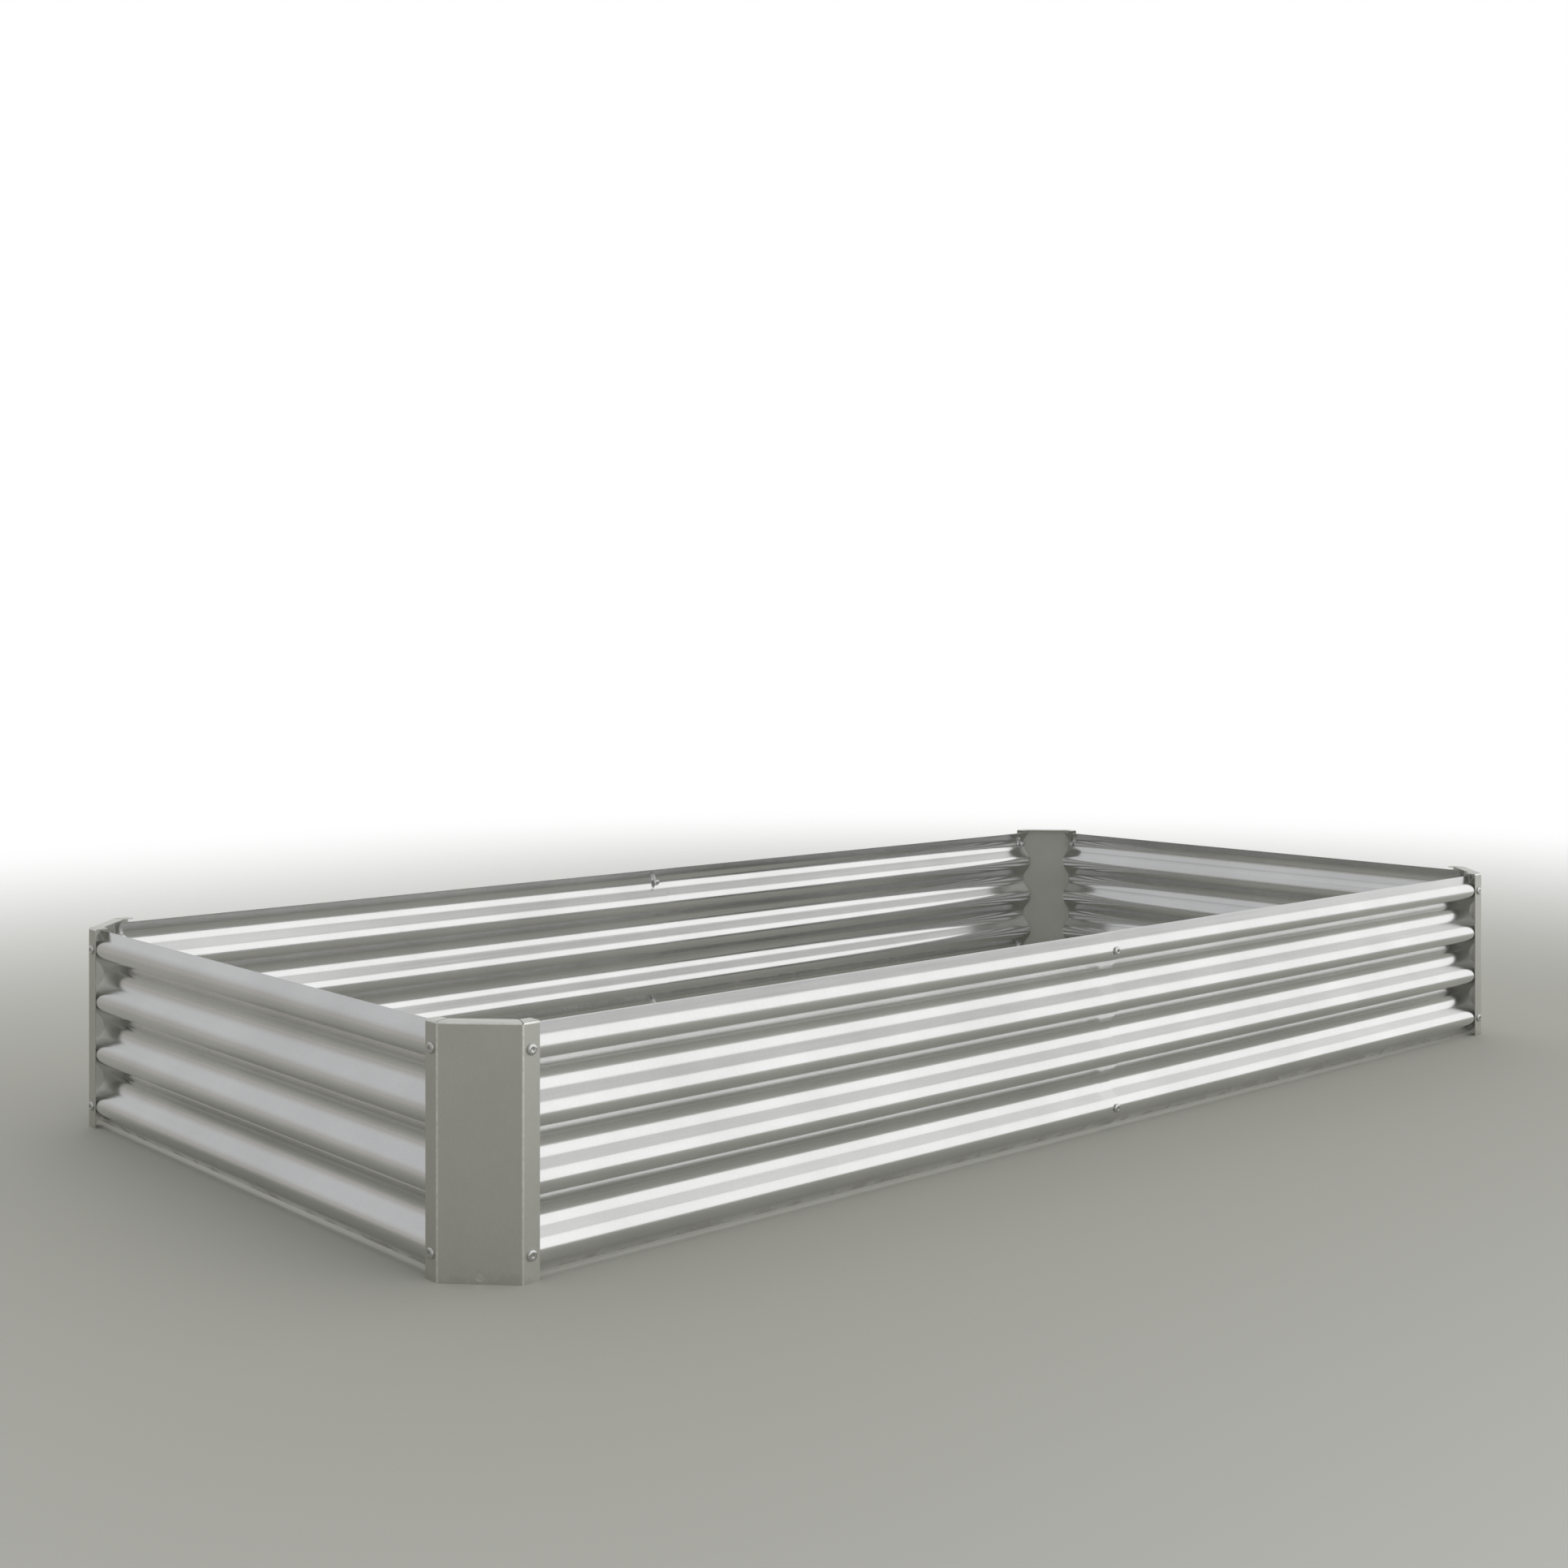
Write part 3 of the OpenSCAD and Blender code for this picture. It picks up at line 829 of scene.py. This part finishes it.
def metal(name, colour, roughness, grain_scale, grain_depth, dark_film_share=0.0, highlighted=None):
    """Zinc-coated steel: soft mottling, fine marks drawn out along the sheet and, where they
    are asked for, places painted brighter as a highlight and made smoother there, and a dark film
    painted near the ground in place of the dark ground that the metal reflects."""
    material = bpy.data.materials.new(name)
    material.use_nodes = True
    graph = Graph(material.node_tree)
    place = graph.add("TexCoord", {}, "Object")
    tone = metal_tone(graph, place)
    grain = graph.noise(graph.stretched(place, grain_scale), *GRAIN_NOISE)
    base = graph.add("VectorMath", {0: colour, "Scale": tone}, operation="SCALE")
    finish = graph.ranged(
        grain, *GRAIN_SPAN, roughness - ROUGHNESS_SPREAD, roughness + ROUGHNESS_SPREAD)
    metallic = 1.0
    if highlighted:
        # Patches of the bends and folds are painted lighter as a highlight, and made smoother
        highlight_patches = graph.ranged(graph.noise(place, *HIGHLIGHT_PATCH_NOISE), *HIGHLIGHT_PATCH_SPAN, HIGHLIGHT_LEAST, 1.0)
        share = graph.math("MULTIPLY", highlighted(graph, place), highlight_patches)
        base = graph.colours(share, base, BEND_HIGHLIGHT_COLOUR)
        finish = graph.math("SUBTRACT", finish, graph.math("MULTIPLY", share, HIGHLIGHT_POLISH))
    if dark_film_share:
        # A dark film painted near the ground, a painted reflection of the dark ground there
        darkened = painted_dark_film(graph, place, dark_film_share)
        base = graph.colours(darkened, base, DARK_FILM_COLOUR)
        metallic = graph.math("SUBTRACT", 1.0, darkened)
        finish = graph.math("ADD", finish, graph.math("MULTIPLY", darkened, DARK_FILM_ROUGHNESS))
    bump = graph.add("Bump", {"Height": grain, "Strength": 1.0, "Distance": grain_depth}, "Normal")
    shader = graph.nodes["Principled BSDF"]
    graph.feed(shader, {"Base Color": base, "Metallic": metallic, "Roughness": finish, "Normal": bump})
    return material


long_wall_metal = metal(
    "corrugated_steel_long", PANEL_COLOUR, PANEL_ROUGHNESS, LONG_WALL_GRAIN, PANEL_GRAIN_DEPTH,
    PANEL_DARK_FILM_SHARE)
end_wall_metal = metal(
    "corrugated_steel_end", PANEL_COLOUR, PANEL_ROUGHNESS, END_WALL_GRAIN, PANEL_GRAIN_DEPTH,
    PANEL_DARK_FILM_SHARE)
post_metal = metal(
    "folded_steel_post", POST_COLOUR, POST_ROUGHNESS, POST_GRAIN, POST_GRAIN_DEPTH,
    POST_DARK_FILM_SHARE, highlighted_bends)
fastener_metal = metal(
    "zinc_plated_fastener", FASTENER_COLOUR, FASTENER_ROUGHNESS, FASTENER_GRAIN,
    FASTENER_GRAIN_DEPTH)


# Studio

FLOOR_RADIUS = 30
FLOOR_SIDES = 96
# The floor's grey shows only round the bed and fades out between these distances from it, a painted
# dark pool
FLOOR_COLOUR = (0.45, 0.45, 0.405, 1)
FLOOR_ROUGHNESS = 0.9
POOL_FADE_START = 0.25
POOL_FADE_END = 4
BRIGHT = (1.17, 1.17, 1.17, 1)
VISIBLE = (1.0, 1.0, 1.0, 1)
BEHIND = (1.03, 1.03, 1.03, 1)
ZENITH = (0.8, 0.8, 0.8, 1)
LEFT_LOW = (0.46, 0.447, 0.42, 1)
NEAR_LOW = (0.48, 0.48, 0.45, 1)
DIM_HIGH = (0.6, 0.605, 0.615, 1)
BAND_SHARE = 0.61
BAND_HIGH_SHARE = 0.43

# Where the light changes. Azimuths are in degrees from +X towards +Y, steepness is the sine
# of the height as it is seen along X, and the other values are parts of a unit direction.
NEAR_TO_LEFT_Y = (-0.5, 0.2)
LOW_TO_HIGH_Z = (0.05, 0.4)
BEHIND_RISE_Z = (0.32, 0.5)
RIGHT_TO_BEHIND_AZIMUTH = (-15, 15)
LIT_START_AZIMUTH = (-112, -84)
LIT_END_AZIMUTH = (78, 108)
BAND_ASIDE_Y = (0.1, 0.22)
BAND_TOP_Z = (0.8, 0.87)
BAND_EDGE_STEEPNESS = (0.868, 0.9)
BAND_HIGH_STEEPNESS = (0.92, 0.95)
OVERHEAD_Z = (0.8, 0.9)

# The camera, in pixels of the picture, millimetres of its sensor, metres and radians
PICTURE_PIXELS = 1932
FOCAL_PIXELS = 2430.17
CENTRE_PIXELS = (872.21, 784.08)
SENSOR_WIDTH = 36
CAMERA_PLACE = (-2.4388, -2.4334, 0.7531)
CAMERA_TURN = -math.radians(40.738)


def studio_floor():
    """A floor that is grey round the bed and fades out into the background away from it: a painted dark
    pool round the bed, which the walls reflect as dark bands.
    """
    bpy.ops.mesh.primitive_circle_add(vertices=FLOOR_SIDES, radius=FLOOR_RADIUS, fill_type="NGON")
    floor = bpy.context.object
    floor.name = "studio_floor"
    material = bpy.data.materials.new("studio_floor")
    material.use_nodes = True
    graph = Graph(material.node_tree)
    x, y, _ = graph.split(graph.add("NewGeometry", {}, "Position"))
    gaps = []
    for place, half in ((x, HALF_LENGTH), (y, HALF_WIDTH)):
        past = graph.math("SUBTRACT", graph.math("ABSOLUTE", place), half)
        gaps.append(graph.math("MAXIMUM", past, 0.0))
    shader = graph.nodes["Principled BSDF"]
    graph.feed(shader, {"Base Color": FLOOR_COLOUR, "Roughness": FLOOR_ROUGHNESS})
    # Painted dark pool: the floor's grey near the bed, fading to clear with distance from it
    surface = graph.add("MixShader", {
        "Fac": graph.smooth(graph.length(*gaps), POOL_FADE_START, POOL_FADE_END),
        1: shader.outputs["BSDF"],
        2: graph.add("BsdfTransparent", {})})
    graph.feed(graph.nodes["Material Output"], {"Surface": surface})
    floor.data.materials.append(material)


def studio_light():
    """Soft light from all round: bright from the right and behind, and weaker from the left
    and the camera's side. What looks steep along X is grey, but not overhead or close to X."""
    world = bpy.data.worlds.new("studio_light")
    bpy.context.scene.world = world
    world.use_nodes = True
    graph = Graph(world.node_tree)
    x, y, z = graph.split(graph.add("TexCoord", {}, "Generated"))
    up = graph.math("MAXIMUM", z, 0.0)
    azimuth = graph.math("DEGREES", graph.math("ARCTAN2", y, x))
    low = graph.colours(graph.smooth(y, *NEAR_TO_LEFT_Y), NEAR_LOW, LEFT_LOW)
    dim = graph.colours(graph.smooth(up, *LOW_TO_HIGH_Z), low, DIM_HIGH)
    behind = graph.colours(graph.smooth(up, *BEHIND_RISE_Z), VISIBLE, BEHIND)
    right = graph.colours(graph.smooth(azimuth, *RIGHT_TO_BEHIND_AZIMUTH), BRIGHT, behind)
    lit_start = graph.smooth(azimuth, *LIT_START_AZIMUTH)
    lit_end = graph.smooth(azimuth, *LIT_END_AZIMUTH, 1, 0)
    around = graph.colours(graph.math("MULTIPLY", lit_start, lit_end), dim, right)
    sky = graph.colours(graph.smooth(z, *OVERHEAD_Z), around, ZENITH)
    steep = graph.math("DIVIDE", z, graph.length(y, z))
    aside = graph.smooth(graph.math("ABSOLUTE", y), *BAND_ASIDE_Y)
    below_top = graph.math("MULTIPLY", graph.smooth(z, *BAND_TOP_Z, 1, 0), aside)
    band = graph.math("MULTIPLY", graph.smooth(steep, *BAND_EDGE_STEEPNESS), below_top)
    dimmed = graph.smooth(steep, *BAND_HIGH_STEEPNESS, BAND_SHARE, BAND_HIGH_SHARE)
    strength = graph.ranged(band, 0, 1, 1, dimmed)
    graph.feed(graph.nodes["Background"], {"Color": sky, "Strength": strength})


def photo_camera():
    """The camera of the photograph: level, with its centre off the picture's middle."""
    lens_data = bpy.data.cameras.new("camera")
    lens_data.sensor_width = SENSOR_WIDTH
    lens_data.lens = SENSOR_WIDTH * FOCAL_PIXELS / PICTURE_PIXELS
    lens_data.shift_x = (PICTURE_PIXELS / 2 - CENTRE_PIXELS[0]) / PICTURE_PIXELS
    lens_data.shift_y = (CENTRE_PIXELS[1] - PICTURE_PIXELS / 2) / PICTURE_PIXELS
    camera = bpy.data.objects.new("camera", lens_data)
    bpy.context.scene.collection.objects.link(camera)
    camera.location = CAMERA_PLACE
    camera.rotation_euler = (math.pi / 2, 0, CAMERA_TURN)
    bpy.context.scene.camera = camera


photo_camera()
studio_floor()
studio_light()

CORNERS = {"front_left": (-1, -1), "front_right": (1, -1), "back_left": (-1, 1), "back_right": (1, 1)}
POST_SEED_STEP = 3.1
POST_WASHER_DEPTH = CREST_PLANE + PANEL_THICKNESS + hollow_rise() + SEAT_GAP
JOINT_HEAD_DEPTH = CREST_PLANE - SEAT_GAP
for number, (label, (side_x, side_y)) in enumerate(CORNERS.items()):
    node = "post_" + label
    mesh = post_mesh(node, side_x, side_y, POST_SEED_STEP * number)
    dress(node, mesh, post_metal, POST_ROUNDING)
    fastener_sets(label, lambda depth: corner_places(side_x, side_y, depth), 0.0, POST_WASHER_DEPTH)

long_panels(0, "panel_front_left", "panel_front_right", seed=11.0)
long_panels(180, "panel_back_right", "panel_back_left", seed=23.0)
end_panel(-90, "panel_end_left", seed=37.0)
end_panel(90, "panel_end_right", seed=41.0)
for label, turn in (("front_joint", 0), ("back_joint", 180)):
    fastener_sets(
        label, lambda depth: joint_places(turn, depth), JOINT_HEAD_DEPTH,
        POST_WASHER_DEPTH + LAP_OFFSET)

bpy.context.scene.view_settings.view_transform = "Standard"
